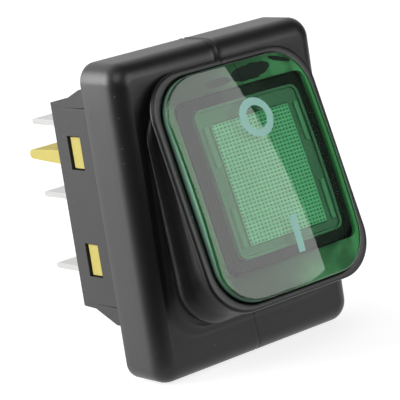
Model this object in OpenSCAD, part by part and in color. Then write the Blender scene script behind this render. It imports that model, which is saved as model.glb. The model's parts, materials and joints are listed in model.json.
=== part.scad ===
// Panel rocker switch with a lamp under a sealed rubber boot.
// Drawn in a front view: x across, y up the face, z out of the panel.
// The finished part stands with its face towards -Y and +Z up.
// The origin is the middle of the panel cut-out, in the plane of the panel's front.

/* [Boot frame] */
// Width of the rubber frame on the panel
frame_w = 33.4; // [31:0.1:36]
// Height of the rubber frame on the panel
frame_h = 42.2; // [40:0.1:46]
// Straight depth of the frame's side, before its front edge rounds over
frame_side = 5.1; // [4.6:0.1:5.3]
// Radius of the frame's front edge and of its corners
frame_edge_r = 2.5; // [1.5:0.1:2.6]
// Thickness of the lip that lies between the bezel and the panel
lip_t = 1.2; // [0.8:0.1:1.5]
// Width of the frame's land beside the opening for the bellows
land_side = 2.2; // [1.8:0.1:2.6]
// Room between the ends of the rocker's cap and that opening
end_room = 4.25; // [4.1:0.05:4.6]
// Corner radius of that opening
opening_r = 4.5; // [3:0.1:6]

/* [Bellows] */
// Wall of the bellows
bellows_wall = 0.9; // [0.6:0.1:1.1]
// Width of the foot that sits on the frame's ledge
foot_w = 2.1; // [1.6:0.1:2.4]
// Height of the foot
foot_h = 2.1; // [1.6:0.1:2.3]
// Gap between the crest of the outward fold and the opening
fold_gap = 0.9; // [0.6:0.05:1.2]
// Height of the fold's crest above the pivot
fold_rise = 7.7; // [7.5:0.1:8]
// Share of the rocker's tilt that the fold's crest takes
fold_share = 0.36; // [0.3:0.01:0.42]
// How far the neck lies inside the collar's sides
neck_in = 1.15; // [1:0.05:1.4]
// How far the neck lies inside the collar's ends
neck_in_end = 1.8; // [1.6:0.05:2.2]
// Depth of the neck below the collar
neck_drop = 1.5; // [1.3:0.05:1.7]
// Thickness of the collar at the ends of the window
collar_wall = 0.9; // [0.7:0.05:1.1]
// Thickness of the collar at the long sides of the window
collar_side = 1.2; // [1:0.05:1.4]
// Depth of the collar's side
collar_depth = 1; // [0.8:0.1:1.1]

/* [Window] */
// Thickness of the window's long sides
window_side = 1.3; // [1.1:0.1:1.6]
// Thickness of the window's ends
window_end = 3.5; // [3:0.1:3.7]
// Gap between the rocker's cap and the window round it
cap_gap = 0.3; // [0.1:0.05:0.4]
// Corner radius of the window's outline
window_r = 5.5; // [4:0.1:7]
// Radius of the crown of the window's face
window_crown_r = 64; // [56:1:80]
// Thickness of the window's face at its middle
window_face = 2.25; // [2.2:0.05:2.6]
// Height of the window's middle above the collar
window_rise = 2.8; // [2.6:0.05:3]
// Depth of the window's side inside the collar
window_hold = 0.8; // [0.6:0.05:0.9]

/* [Housing] */
// Width of the housing behind the panel
housing_w = 21.5; // [21.2:0.1:21.8]
// Height of the housing behind the panel
housing_h = 28.7; // [28.2:0.1:29.4]
// Depth of the housing behind the panel
housing_depth = 16.5; // [16:0.1:20]
// Thickness of the long side walls
side_wall = 1.5; // [1.4:0.1:1.7]
// Thickness of the short end walls
end_wall = 1.35; // [1:0.05:1.6]
// Width of the bezel flange
bezel_w = 25.4; // [24:0.1:27]
// Height of the bezel flange
bezel_h = 33; // [32.4:0.1:36]
// Thickness of the bezel flange
bezel_t = 2; // [1.8:0.1:2.2]
// Length of a latch window along the side
latch_slot_w = 4.7; // [3.5:0.1:5.5]
// Depth of a latch window
latch_slot_d = 3; // [2.4:0.1:3.2]
// Distance of a latch window's middle from the outer rows of tabs
latch_in = 2.9; // [2.6:0.1:3.2]
// Length of a snap wing's root from the back of the housing
wing_root = 2.7; // [2:0.1:3.4]
// How far a snap wing's peak stands out of the end wall
wing_out = 1.95; // [1:0.05:2.2]
// Depth of the wing's peak behind the panel
wing_peak = 9.4; // [7:0.1:10.5]
// Depth of the wing's free end behind the panel
wing_tip = 2.2; // [1.5:0.1:3]
// Thickness of a wing at its root
wing_t = 0.6; // [0.5:0.05:0.9]
// Gap between the free end of a wing and the end wall under it
wing_slit = 0.25; // [0.15:0.05:0.4]
// Steps along a wing that grip panels of different thickness
wing_steps = 4; // [2:1:6]

/* [Terminal base] */
// Thickness of the base's floor
floor_t = 2.7; // [2.6:0.1:3.4]
// Thickness of the barrier between the first two rows of tabs
barrier_t = 2.1; // [1.6:0.05:2.4]
// Thickness of the barrier at its round tip
barrier_tip_t = 1.3; // [1:0.05:1.4]
// Distance of the barrier from the centre line
barrier_v = 6.4; // [5:0.1:7]
// How far the barrier lies inside the housing's sides
barrier_in = 1.05; // [0.4:0.05:2]
// Gap at each end of a latch in its window
latch_gap = 0.2; // [0.1:0.05:0.4]
// Depth of a latch's face below the housing's side
latch_sunk = 0.3; // [0.1:0.05:0.5]

/* [Rocker] */
// Height of the pivot above the panel's front
pivot_n = 1.5; // [1.5:0.1:1.7]
// Tilt of the rocker at each end of its travel
rest_tilt = 16.5; // [12:0.5:17]
// Width of the rocker's cap
cap_w = 20.8; // [20:0.1:21.2]
// Height of the rocker's cap
cap_h = 22.3; // [21.6:0.1:23]
// Height of the cap's face above the pivot
cap_rise = 12.7; // [12.4:0.1:13]
// Depth of the cap's side
cap_depth = 6.5; // [5:0.1:7]
// Corner radius of the cap
cap_r = 2.5; // [1.5:0.1:3]
// How far the cap and the lens lie off the pivot, towards the O end
cap_up = 0.4; // [0:0.05:0.6]
// Width of the lens
lens_w = 17.1; // [16:0.1:17.5]
// Height of the lens
lens_h = 19.7; // [18.4:0.1:19.8]
// Thickness of the lens
lens_t = 2.1; // [1.6:0.1:3]
// Width of the ribbed field in the lens
field_w = 12.9; // [9:0.1:13.4]
// Height of the ribbed field in the lens
field_h = 16.1; // [12:0.1:16.4]
// Depth of the ribbed field below the lens's rim
field_drop = 0.5; // [0.3:0.05:0.8]
// Distance from one rib to the next
rib_pitch = 0.75; // [0.6:0.05:1.2]
// Height of the rocker's stem, up the face
stem_h = 19; // [17.6:0.1:20]
// Depth of the stem below the pivot
stem_drop = 3; // [2:0.1:4]
// Wall of the rocker's stem
stem_wall = 1.4; // [1:0.1:1.6]
// Radius of the pivot pins
trunnion_r = 1.1; // [0.9:0.05:1.3]
// Length of a pivot pin outside the stem
trunnion_len = 1.2; // [1:0.1:1.4]

/* [Contacts] */
// Width of a terminal tab
tab_w = 6.3; // [6:0.1:6.5]
// Thickness of the tabs
tab_t = 0.8; // [0.5:0.05:1]
// Length of a tab behind the housing
tab_len = 8.8; // [7:0.1:12]
// Radius of the hole in each tab
tab_hole_r = 0.85; // [0.6:0.05:1.2]
// Bevel at the corners of a tab's tip
tab_lead = 0.35; // [0.2:0.05:1.2]
// Joggle that sets a tab towards the O end, inside the base's floor
joggle = 0.45; // [0.2:0.05:0.5]
// Distance from one row of tabs to the next
row_pitch = 10.4; // [10.1:0.1:10.6]
// Distance of each column of tabs from the housing's inner side
column_in = 3.75; // [3.5:0.05:3.9]
// Reach of a plunger's tip from the pivot
plunger_reach = 9; // [8.6:0.1:9.6]
// Radius of a plunger
plunger_r = 1.5; // [1.2:0.05:1.6]
// Wall of the tube round a plunger
tube_wall = 0.85; // [0.6:0.05:0.9]
// Depth of a plunger's tube below the pivot
tube_drop = 6; // [5:0.1:6.4]
// Wire radius of a plunger's spring
spring_wire_r = 0.2; // [0.15:0.01:0.3]
// Turns of a plunger's spring
spring_turns = 5; // [4:1:7]
// Tilt of a contact lever at each end of its travel
lever_tilt = 6; // [4:0.5:7]
// Width of a contact lever
lever_w = 4; // [3:0.1:4.2]
// Thickness of a contact lever
lever_t = 0.8; // [0.5:0.05:1]
// Distance from a contact to the outer row of tabs
contact_in = 2.5; // [2.3:0.1:2.9]
// Radius of the contact rivets
rivet_r = 1.5; // [1.1:0.1:1.6]
// Height of the contact rivets
rivet_t = 0.7; // [0.4:0.1:0.9]

/* [Lamp] */
// Gap between the lamp's glass and the plungers' tubes
lamp_gap = 1; // [0.9:0.05:1.5]
// Length of the lamp
lamp_len = 10.5; // [7:0.1:12]
// Depth of the lamp's foot behind the panel
lamp_foot = 7; // [6:0.1:9]
// Radius of the lamp's wires
wire_r = 0.3; // [0.2:0.05:0.35]
// Size of the resistor and one wire, as a share of the lamp's radius
resistor_share = 0.62; // [0.5:0.01:0.64]
// Length of the resistor
resistor_len = 4.6; // [3:0.1:5]

/* [Fits] */
// Gap on each side of a fixed piece in its seat
fit = 0.1; // [0.05:0.01:0.15]
// Gap round a pin or plunger that moves in its hole
running_fit = 0.05; // [0.03:0.01:0.08]
// Gap on each side of a piece that swings past another
swing_gap = 0.4; // [0.3:0.05:0.5]

/* [Hidden] */
$fn = 64;
sides = [-1, 1];
LEFT = -1;
RIGHT = 1;
cut = 1;
black = [0.10, 0.10, 0.11];
rubber = [0.13, 0.13, 0.14];
yellow = [0.90, 0.85, 0.48];
green = [0.26, 0.50, 0.33];
tinned = [0.80, 0.80, 0.80];
brass = [0.80, 0.65, 0.30];
silver = [0.86, 0.86, 0.88];
glass = [0.92, 0.80, 0.70];

// Levels out of the panel
frame_front = frame_side + frame_edge_r;
opening_w = frame_w - 2 * land_side;
opening_h = cap_h + 2 * (cap_up + end_room);
bezel_top = lip_t + bezel_t;
ledge_t = frame_side - bezel_top - 2 * fit;
ledge_n = bezel_top + fit + ledge_t;
floor_n = floor_t - housing_depth;
tab_tip_n = -housing_depth - tab_len;

// Inside of the housing
inner_w = housing_w - 2 * side_wall;
inner_h = housing_h - 2 * end_wall;
base_w = inner_w - 2 * fit;
base_h = inner_h - 2 * fit;
latch_v = row_pitch - latch_in;
latch_w = latch_slot_w - 2 * latch_gap;
latch_slot_n = floor_n + latch_slot_d / 2 - fit;
cheek_t = 1.2;
bezel_r = 1.4;
lens_r = 1.2;
column_u = inner_w / 2 - column_in;
contact_v = row_pitch - contact_in;

// Window, collar and lens, measured from the pivot
window_under = cap_rise + fit / 2;
window_top = window_under + window_face;
window_w = cap_w + 2 * (cap_gap + window_side);
window_h = cap_h + 2 * (cap_gap + window_end);
collar_top = window_top - window_rise;
window_foot = collar_top - window_hold;
collar_w = window_w + 2 * (fit + collar_side);
collar_h = window_h + 2 * (fit + collar_wall);
collar_r = window_r;
cap_under = cap_rise - cap_depth;
lens_seat = cap_rise - lens_t;

// Rocker's stem and the holes in it
stem_w = inner_w - 2 * swing_gap;
well_w = stem_w - 2 * stem_wall;
well_h = stem_h - 2 * stem_wall;
tube_r = plunger_r + running_fit + tube_wall;
lamp_r = column_u - tube_r - lamp_gap;
resistor_r = resistor_share * lamp_r - wire_r;
plunger_top = -stem_drop / 2;
spring_len = 5;
spring_r = plunger_r - spring_wire_r - running_fit;
bore_end = plunger_top + spring_len;
tube_top = bore_end + tube_wall;

// Contact lever: a dished strip whose dish follows the plunger's tip
lever_axis_n = pivot_n - plunger_reach - fit - lever_t;
dish_reach = plunger_reach * sin(rest_tilt);
dish_depth = plunger_reach * (1 - cos(rest_tilt)) + dish_reach * tan(lever_tilt);
dish_r = (dish_reach ^ 2 + dish_depth ^ 2) / (2 * dish_depth);
dish_half = dish_reach + plunger_r / 3;
arm_z = dish_r - sqrt(dish_r ^ 2 - dish_half ^ 2);
under_half = sqrt((dish_r + lever_t) ^ 2 - (dish_r + lever_t - arm_z) ^ 2);
arm_end = contact_v + rivet_r;

// Level of a point of the lever's underside when that arm is down
function arm_down_n(reach, z) = lever_axis_n - reach * sin(lever_tilt) + z * cos(lever_tilt);
fixed_contact_n = arm_down_n(arm_end, arm_z - rivet_t) - fit;
arm_seat_n = fixed_contact_n - rivet_t;
stop_half = 0.8;
stop_n = arm_down_n(contact_v + stop_half, arm_z) - fit;
fulcrum_n = lever_axis_n - fit;

// Stands the front-view drawing up, with its face towards -Y
module stood() {
    rotate([90, 0, 0]) children();
}

// Puts a piece drawn about the pivot on the rocker, as it rests
module rocked() {
    stood() translate([0, 0, pivot_n]) rotate([-rest_tilt, 0, 0]) children();
}

// Puts a piece drawn about a lever's edge on that lever, as it rests
module on_lever(side) {
    stood() translate([side * column_u, 0, lever_axis_n]) rotate([lever_tilt, 0, 0]) children();
}

// Flat rectangle with round corners
module round_rect(w, h, r) {
    for (x = sides, y = sides) translate([x * (w / 2 - r), y * (h / 2 - r)]) circle(r);
    square([w - 2 * r, h], center = true);
    square([w, h - 2 * r], center = true);
}

// Upright block with round corners between two levels
module round_block(w, h, r, low, high) {
    translate([0, 0, low]) linear_extrude(high - low) round_rect(w, h, r);
}

// Upright square block between two levels
module block(w, h, low, high) {
    translate([-w / 2, -h / 2, low]) cube([w, h, high - low]);
}

// Rounded pad: upright sides up to a level, then a round front edge
module pillow(w, h, r, edge_r, low, high) {
    hull() for (x = sides, y = sides) translate([x * (w / 2 - r), y * (h / 2 - r), 0]) {
        translate([0, 0, low]) cylinder(r = r, h = high - low, $fn = 48);
        translate([0, 0, high]) rotate_extrude($fn = 48)
            translate([r - edge_r, 0]) intersection() {
                circle(edge_r, $fn = 48);
                square(edge_r);
            }
    }
}

// Skin through a list of rings that have the same number of points, closed at its ends
module skin(rings, closed = false) {
    count = len(rings[0]);
    last = len(rings) - 1;
    walls = [for (k = [0 : closed ? last : last - 1], i = [0 : count - 1])
        let (a = k * count, b = ((k + 1) % (last + 1)) * count, j = (i + 1) % count)
        each [[a + i, b + i, b + j], [a + i, b + j, a + j]]];
    ends = closed ? [] : [[for (i = [0 : count - 1]) i],
        [for (i = [count - 1 : -1 : 0]) last * count + i]];
    polyhedron([for (ring = rings) each ring], concat(walls, ends));
}

// Points of a rectangle with round corners
function ring_points(w, h, r, steps = 10) = [
    for (corner = [0 : 3], i = [0 : steps])
        let (a = 90 * corner + 90 * i / steps,
            x = corner == 0 || corner == 3 ? 1 : -1, y = corner < 2 ? 1 : -1)
        [x * (w / 2 - r) + r * cos(a), y * (h / 2 - r) + r * sin(a)]];

// A ring of the bellows, from its width, height, corner radius, rise above the pivot
// and share of the rocker's tilt, all drawn in by a wall thickness
function bellows_ring(row, wall = 0) =
    let (a = rest_tilt * row[4])
    [for (p = ring_points(row[0] - 2 * wall, row[1] - 2 * wall, row[2] - wall))
        [p.x, p.y * cos(a) + row[3] * sin(a), pivot_n - p.y * sin(a) + row[3] * cos(a)]];

module boot_frame() {
    color(rubber) stood() difference() {
        pillow(frame_w, frame_h, frame_edge_r, frame_edge_r, 0, frame_side);
        block(housing_w + 2 * fit, housing_h + 2 * fit, -cut, lip_t + cut);
        round_block(bezel_w + 2 * fit, bezel_h + 2 * fit, bezel_r + fit, lip_t, bezel_top + fit);
        round_block(opening_w - 2 * foot_w, opening_h - 2 * foot_w, opening_r / 2, bezel_top, ledge_n + cut);
        round_block(opening_w, opening_h, opening_r, ledge_n, frame_front + cut);
    }
}

// One outward fold between the fixed foot and the collar that tilts with the window
module boot_bellows() {
    foot_low = ledge_n - pivot_n + fit / 2;
    foot_top = foot_low + foot_h;
    foot = [opening_w - 2 * fit, opening_h - 2 * fit, opening_r - fit];
    foot_in = [opening_w - 2 * foot_w, opening_h - 2 * foot_w, opening_r / 2 + fit];
    fold = [opening_w - 2 * fold_gap, opening_h - 2 * fold_gap, opening_r + fold_gap];
    neck = [collar_w - 2 * neck_in, collar_h - 2 * neck_in_end, window_r];
    seat = [window_w + 2 * fit, window_h + 2 * fit, window_r + fit];
    round = collar_wall / 2;
    collar = [collar_w, collar_h, collar_r];
    collar_edge = collar - [2 * round, 2 * round, round];
    collar_low = collar_top - collar_depth;
    flank = bellows_wall / 2;
    flank_size = fold - [2 * flank, 2 * flank, 0];
    root_size = fold - [flank, flank, 0];
    folds = [
        concat(root_size, [foot_top, fold_share / 6]),
        concat(flank_size, [fold_rise - 2 * flank, fold_share * 0.8]),
        concat(fold, [fold_rise, fold_share]),
        concat(flank_size, [fold_rise + flank, fold_share * 1.2]),
        concat(neck, [collar_low - neck_drop, fold_share * 2])];
    color(rubber) stood() skin(concat(
        [bellows_ring(concat(foot, [foot_low, 0])), bellows_ring(concat(foot, [foot_top, 0]))],
        [for (row = folds) bellows_ring(row)],
        [bellows_ring(concat(collar_edge, [collar_low, 1])),
            bellows_ring(concat(collar, [collar_low + round, 1])),
            bellows_ring(concat(collar, [collar_top - round, 1])),
            bellows_ring(concat(collar_edge, [collar_top, 1])),
            bellows_ring(concat(seat, [collar_top, 1])),
            bellows_ring(concat(seat, [window_foot - fit, 1]))],
        [for (i = [len(folds) - 1 : -1 : 0]) bellows_ring(folds[i], bellows_wall)],
        [bellows_ring(concat(foot_in, [foot_low + foot_h / 2, 0])),
            bellows_ring(concat(foot_in, [foot_low, 0]))]
    ), closed = true);
}

module boot_window() {
    color(green, 0.7) rocked() difference() {
        intersection() {
            round_block(window_w, window_h, window_r, window_foot, window_top + cut);
            translate([0, 0, window_top - window_crown_r]) sphere(window_crown_r, $fn = 96);
        }
        translate([0, cap_up, 0]) round_block(cap_w + 2 * cap_gap, cap_h + 2 * cap_gap,
            cap_r + cap_gap, window_foot - cut, window_under);
    }
}

// A snap wing in profile: a ramp up to its peak, then steps down to its free end
module wing_profile() {
    face = housing_h / 2;
    under = face - wing_t;
    root_n = wing_root - housing_depth;
    step_n = (wing_peak - wing_tip) / wing_steps;
    step_v = wing_out / 2 / wing_steps;
    ramp = [[face, -housing_depth], [face + wing_slit / 2, root_n], [face + wing_out, -wing_peak]];
    teeth = [for (i = [1 : wing_steps]) each [
        [face + wing_out - (i - 1) * step_v, -wing_peak + i * step_n],
        [face + wing_out - i * step_v, -wing_peak + i * step_n]]];
    back = [[under + wing_slit, -wing_tip], [under, root_n], [under, -housing_depth]];
    polygon(concat(ramp, teeth, back));
}

// A snap wing as wide as the housing, so that its edges lie flush with the long sides
module wing() {
    translate([-housing_w / 2, 0, 0]) rotate([90, 0, 90]) linear_extrude(housing_w) wing_profile();
}

// Opening in an end of the housing that frees a snap wing, with a narrow slit at its edges
module wing_opening() {
    low = wing_root - housing_depth;
    high = -wing_tip + 4 * fit;
    under = housing_h / 2 - wing_t;
    end = housing_h / 2 + cut;
    translate([0, inner_h / 2, 0]) block(inner_w, 2 * end_wall + cut, low, high);
    translate([0, (under + end) / 2, 0]) block(housing_w + cut, end - under, low, high);
}

module housing() {
    color(black) stood() {
        difference() {
            union() {
                block(housing_w, housing_h, -housing_depth, bezel_top - fit);
                round_block(bezel_w, bezel_h, bezel_r, lip_t + fit, bezel_top);
            }
            block(inner_w, inner_h, -housing_depth - cut, bezel_top + cut);
            // Latch windows in the long sides
            for (y = sides) translate([0, y * latch_v, 0])
                block(housing_w + cut, latch_slot_w, latch_slot_n - latch_slot_d / 2,
                    latch_slot_n + latch_slot_d / 2);
            for (a = [0, 180]) rotate([0, 0, a]) wing_opening();
            // Bearings for the rocker's pins
            for (x = sides) translate([x * inner_w / 2, 0, pivot_n]) rotate([0, 90, 0])
                cylinder(r = trunnion_r + running_fit, h = 2 * (trunnion_len - swing_gap + fit), center = true);
        }
        for (a = [0, 180]) rotate([0, 0, a]) wing();
    }
}

// Latch that snaps into a window of the housing's side
module latch() {
    out = housing_w / 2 - latch_sunk;
    low = latch_slot_n - latch_slot_d / 2 + 4 * fit;
    high = latch_slot_n + latch_slot_d / 2 - 2 * fit;
    rotate([90, 0, 0]) linear_extrude(latch_w, center = true) polygon([
        [base_w / 2 - cheek_t, floor_n - cut], [base_w / 2, floor_n - cut], [base_w / 2, low],
        [out, low], [out, high - 3 * fit], [out - 3 * fit, high], [base_w / 2 - cheek_t, high]]);
}

// Barrier fin between two rows of tabs, thinner at its round tip
module barrier() {
    tip_n = tab_tip_n + barrier_tip_t / 2;
    root_n = floor_n - floor_t / 2;
    width = housing_w - 2 * barrier_in;
    translate([-width / 2, barrier_v, 0]) rotate([90, 0, 90]) linear_extrude(width) union() {
        polygon([[-barrier_t / 2, -housing_depth], [-barrier_tip_t / 2, tip_n],
            [barrier_tip_t / 2, tip_n], [barrier_t / 2, -housing_depth]]);
        translate([0, tip_n]) circle(barrier_tip_t / 2);
    }
    translate([0, barrier_v, 0])
        block(base_w / 2, barrier_tip_t, -housing_depth - barrier_t, root_n);
}

module terminal_base() {
    color(yellow) stood() {
        difference() {
            block(base_w, base_h, -housing_depth, floor_n);
            for (x = sides, row = [-1 : 1]) translate([x * column_u, row * row_pitch + joggle / 2, 0])
                block(tab_w + 2 * running_fit, tab_t + joggle + 2 * running_fit,
                    -housing_depth - cut, floor_n + cut);
        }
        for (x = [0, 180], y = sides) translate([0, y * latch_v, 0]) rotate([0, 0, x]) latch();
        barrier();
        for (x = sides) translate([x * column_u, 0, 0]) {
            // Seat under the fixed contact's arm
            translate([0, contact_v, 0])
                block(lever_w - 2 * fit, 2 * rivet_r, floor_n - cut, arm_seat_n - tab_t - running_fit);
            // Stop under the lever's other arm
            translate([0, -contact_v, 0]) block(lever_w - 2 * stop_half, 2 * stop_half, floor_n - cut, stop_n);
        }
        // Post that carries the lamp
        block(lamp_r, lamp_r, floor_n - cut, -lamp_foot - running_fit);
    }
}

module rocker() {
    color(black) rocked() difference() {
        union() {
            difference() {
                union() {
                    translate([0, cap_up, 0]) round_block(cap_w, cap_h, cap_r, cap_under, cap_rise);
                    round_block(stem_w, stem_h, lens_r, -stem_drop, cap_under + cut);
                    rotate([0, 90, 0])
                        cylinder(r = trunnion_r, h = stem_w + 2 * trunnion_len, center = true);
                }
                block(well_w, well_h, -stem_drop - cut, lens_seat + cut);
                translate([0, cap_up, 0]) round_block(lens_w + 2 * running_fit, lens_h + 2 * running_fit,
                    lens_r, lens_seat, cap_rise + cut);
            }
            for (x = sides) translate([x * column_u, 0, -tube_drop])
                cylinder(r = tube_r, h = tube_drop + tube_top);
        }
        for (x = sides) translate([x * column_u, 0, -tube_drop - cut])
            cylinder(r = plunger_r + running_fit, h = tube_drop + cut + bore_end);
    }
}

// Clear green plate with a sunk field of fine ribs that spread the lamp's light
module rocker_lens() {
    ribs = floor(field_w / rib_pitch);
    field_n = cap_rise - field_drop;
    groove = rib_pitch * 0.45;
    color(green, 0.8) rocked() difference() {
        translate([0, cap_up, 0]) round_block(lens_w, lens_h, lens_r, lens_seat + running_fit, cap_rise);
        block(field_w, field_h, field_n, cap_rise + cut);
        for (i = [0 : ribs - 1])
            translate([(i - (ribs - 1) / 2) * rib_pitch, field_h / 2, field_n])
                rotate([90, 0, 0]) linear_extrude(field_h)
                    polygon([[-groove, field_drop / 2], [-groove, 0], [0, -groove],
                        [groove, 0], [groove, field_drop / 2]]);
    }
}

module plunger(side) {
    color(black) rocked() translate([side * column_u, 0, 0]) {
        translate([0, 0, -plunger_reach + plunger_r])
            cylinder(r = plunger_r, h = plunger_reach - plunger_r + plunger_top);
        translate([0, 0, -plunger_reach + plunger_r]) sphere(plunger_r);
    }
}

// Coil spring between a plunger and the end of its bore
module plunger_spring(side) {
    steps = 14;
    spokes = 6;
    low = plunger_top + spring_wire_r + running_fit;
    rise = spring_len - 2 * spring_wire_r - 2 * running_fit;
    rings = [for (k = [0 : spring_turns * steps])
        let (a = 360 * k / steps, z = low + rise * k / (spring_turns * steps))
        [for (i = [0 : spokes - 1])
            let (b = -360 * i / spokes, r = spring_r + spring_wire_r * cos(b))
            [r * cos(a), r * sin(a), z + spring_wire_r * sin(b)]]];
    color(silver) rocked() translate([side * column_u, 0, 0]) skin(rings);
}

// Side view of a lever: two level arms and a round dish between them
module lever_profile() {
    top_a = asin(dish_half / dish_r);
    under_r = dish_r + lever_t;
    under_a = asin(under_half / under_r);
    steps = 12;
    polygon(concat(
        [[-arm_end, arm_z + lever_t]],
        [for (i = [-steps : steps]) let (a = top_a * i / steps)
            [dish_r * sin(a), under_r - dish_r * cos(a)]],
        [[arm_end, arm_z + lever_t], [arm_end, arm_z]],
        [for (i = [steps : -1 : -steps]) let (a = under_a * i / steps)
            [under_r * sin(a), under_r - under_r * cos(a)]],
        [[-arm_end, arm_z]]));
}

module contact_lever(side) {
    color(brass) on_lever(side) translate([-lever_w / 2, 0, 0])
        rotate([90, 0, 90]) linear_extrude(lever_w) lever_profile();
}

module lever_contact(side) {
    color(silver) on_lever(side) translate([0, contact_v, arm_z - rivet_t])
        cylinder(r = rivet_r, h = rivet_t);
}

module fixed_contact(side) {
    color(silver) stood() translate([side * column_u, contact_v, arm_seat_n])
        cylinder(r = rivet_r, h = rivet_t);
}

// Outline of a tab from its tip to the middle of the base's floor
module tab_outline() {
    top = floor_n - floor_t / 2;
    difference() {
        polygon([[-tab_w / 2, top], [-tab_w / 2, tab_tip_n + tab_lead], [-tab_w / 2 + tab_lead, tab_tip_n],
            [tab_w / 2 - tab_lead, tab_tip_n], [tab_w / 2, tab_tip_n + tab_lead], [tab_w / 2, top]]);
        translate([0, -housing_depth - tab_len / 2]) circle(tab_hole_r);
    }
}

// Outline of a terminal's blade from inside the base's floor up to a level
module blade_outline(top) {
    low = floor_n - 0.8 * floor_t;
    translate([-tab_w / 2, low]) square([tab_w, top - low]);
}

// Sheet cut to an outline in the width and depth directions
module sheet(side, v) {
    stood() translate([side * column_u, v, 0]) rotate([90, 0, 0])
        linear_extrude(tab_t, center = true) children();
}

// Tab of a terminal, set off from the blade inside the housing and bevelled at its tip
module tab(side, row) {
    v = row * row_pitch + joggle;
    intersection() {
        sheet(side, v) tab_outline();
        stood() translate([side * column_u, v, 0]) rotate([90, 0, 90])
            linear_extrude(tab_w + cut, center = true) polygon([
                [-tab_t / 2, floor_n], [-tab_t / 2, tab_tip_n + tab_t], [-tab_t / 4, tab_tip_n],
                [tab_t / 4, tab_tip_n], [tab_t / 2, tab_tip_n + tab_t], [tab_t / 2, floor_n]]);
    }
}

// Terminal whose inner end turns towards the middle and carries the fixed contact
module switched_terminal(side) {
    arm_low = contact_v - rivet_r;
    color(tinned) {
        tab(side, 1);
        sheet(side, row_pitch) blade_outline(arm_seat_n);
        stood() translate([side * column_u - lever_w / 2, arm_low, arm_seat_n - tab_t])
            cube([lever_w, row_pitch + tab_t / 2 - arm_low, tab_t]);
    }
}

// Terminal whose notched inner end is the edge that the lever rocks on
module common_terminal(side) {
    ear = 2 * tab_t;
    color(tinned) {
        tab(side, 0);
        sheet(side, 0) difference() {
            blade_outline(lever_axis_n + ear);
            translate([-lever_w / 2 - 1.5 * fit, fulcrum_n]) square([lever_w + 3 * fit, ear + cut]);
        }
    }
}

module lamp_terminal(side) {
    stub = resistor_r + 1.5 * tab_t;
    color(tinned) {
        tab(side, -1);
        sheet(side, -row_pitch) blade_outline(floor_n + stub);
    }
}

// Glass lamp with a domed end
module lamp_bulb() {
    color(glass, 0.7) stood() translate([0, 0, -lamp_foot]) {
        cylinder(r = lamp_r, h = lamp_len - lamp_r);
        translate([0, 0, lamp_len - lamp_r]) sphere(lamp_r);
    }
}

wire_u = 0.45 * lamp_r;
wire_v = -0.576 * lamp_r - wire_r;
wire_n = floor_n + resistor_r + running_fit;
wire_end_v = -row_pitch + tab_t / 2 + running_fit;
wire_turn_v = wire_end_v + 3 * wire_r;
wire_end_u = column_u - tab_w / 2 + 3 * wire_r;
resistor_v = (wire_v + wire_turn_v) / 2;

// Round wire through a list of points
module wire(points) {
    for (i = [0 : len(points) - 2]) {
        run = points[i + 1] - points[i];
        translate(points[i])
            rotate([0, acos(run.z / norm(run)), atan2(run.y, run.x)])
                cylinder(r = wire_r, h = norm(run), $fn = 24);
        if (i > 0) translate(points[i]) sphere(wire_r, $fn = 24);
    }
}

module lamp_resistor() {
    color([0.75, 0.65, 0.50]) stood() translate([wire_u, resistor_v, wire_n]) rotate([90, 0, 0])
        cylinder(r = resistor_r, h = resistor_len, center = true);
}

module lamp_lead_left() {
    color(tinned) stood() wire([
        [-wire_u, wire_v, -lamp_foot - running_fit], [-wire_u, wire_v, wire_n],
        [-wire_u, wire_turn_v, wire_n], [-wire_end_u, wire_turn_v, wire_n],
        [-wire_end_u, wire_end_v, wire_n]]);
}

module lamp_lead_right() {
    half = resistor_len / 2 + running_fit;
    color(tinned) stood() {
        wire([[wire_u, wire_v, -lamp_foot - running_fit], [wire_u, wire_v, wire_n],
            [wire_u, resistor_v + half, wire_n]]);
        wire([[wire_u, resistor_v - half, wire_n], [wire_u, wire_turn_v, wire_n],
            [wire_end_u, wire_turn_v, wire_n], [wire_end_u, wire_end_v, wire_n]]);
    }
}

boot_frame();
boot_bellows();
boot_window();
housing();
terminal_base();
rocker();
rocker_lens();
plunger(LEFT);  // plunger_left
plunger(RIGHT);  // plunger_right
plunger_spring(LEFT);  // plunger_spring_left
plunger_spring(RIGHT);  // plunger_spring_right
contact_lever(LEFT);  // contact_lever_left
contact_lever(RIGHT);  // contact_lever_right
lever_contact(LEFT);  // lever_contact_left
lever_contact(RIGHT);  // lever_contact_right
fixed_contact(LEFT);  // fixed_contact_left
fixed_contact(RIGHT);  // fixed_contact_right
switched_terminal(LEFT);  // switched_terminal_left
switched_terminal(RIGHT);  // switched_terminal_right
common_terminal(LEFT);  // common_terminal_left
common_terminal(RIGHT);  // common_terminal_right
lamp_terminal(LEFT);  // lamp_terminal_left
lamp_terminal(RIGHT);  // lamp_terminal_right
lamp_bulb();
lamp_resistor();
lamp_lead_left();
lamp_lead_right();
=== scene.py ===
# %% [markdown]
# A lit rocker switch under a rubber boot. The imported solids give every size and place. This script adds
# the looks: one continuous rubber boot, a clear green window, a lens of small pits, printed marks, coil
# springs, and a finish for every piece. The imported model is loaded first, and its box is kept.

# %% Load the imported switch
import json
import math

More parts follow.
